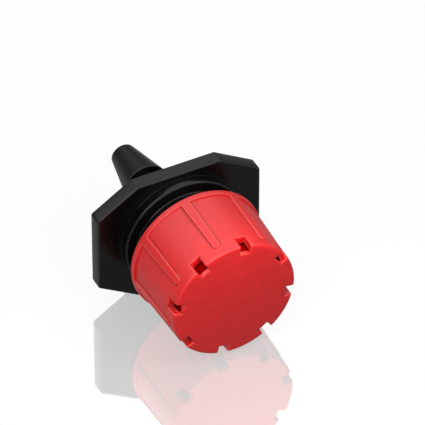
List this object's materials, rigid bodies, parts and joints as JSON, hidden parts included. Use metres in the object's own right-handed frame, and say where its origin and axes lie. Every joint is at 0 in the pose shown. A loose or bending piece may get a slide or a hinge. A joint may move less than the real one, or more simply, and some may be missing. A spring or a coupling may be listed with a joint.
{
  "type": "drip emitter",
  "caption": "Adjustable drip emitter: a hose barb and octagonal grip plate carry a threaded neck, and a ribbed screw cap with outlets round its end sets the flow.",
  "frame": {"origin": "on the emitter's axis, in the plane of the grip plate's barb-side face, where the barb's root leaves the plate", "axes": "+Y along the axis out through the barb's tip, so the cap points to -Y; +Z square to the plate's long edges; +X along them"},
  "size_m": [0.021, 0.029, 0.0166],
  "materials": {
    "black_plastic": "fine satin moulded polypropylene, near black, with paler grey highlights on its edges",
    "red_plastic": "satin moulded plastic, bright signal red, with a very fine moulded grain",
    "black_rubber": "matt black nitrile"
  },
  "bodies": {
    "base": {"barbed_base": "black_plastic"},
    "seal": {"seal_ring": "black_rubber"},
    "cap": {"flow_cap": "red_plastic"}
  },
  "joints": [
    {"name": "cap_travel", "type": "slide", "parent": "base", "child": "seal", "axis": [0, -1, 0], "range_m": [-0.00146, 0.00201]},
    {"name": "cap_turn", "type": "hinge", "parent": "seal", "child": "cap", "pos_m": [0, -0.0068, 0], "axis": [0, -1, 0], "range_deg": [-261, 360]}
  ],
  "couplings": [
    {"joint": "cap_travel", "follows": "cap_turn", "m_per_rad": 0.00031831}
  ]
}
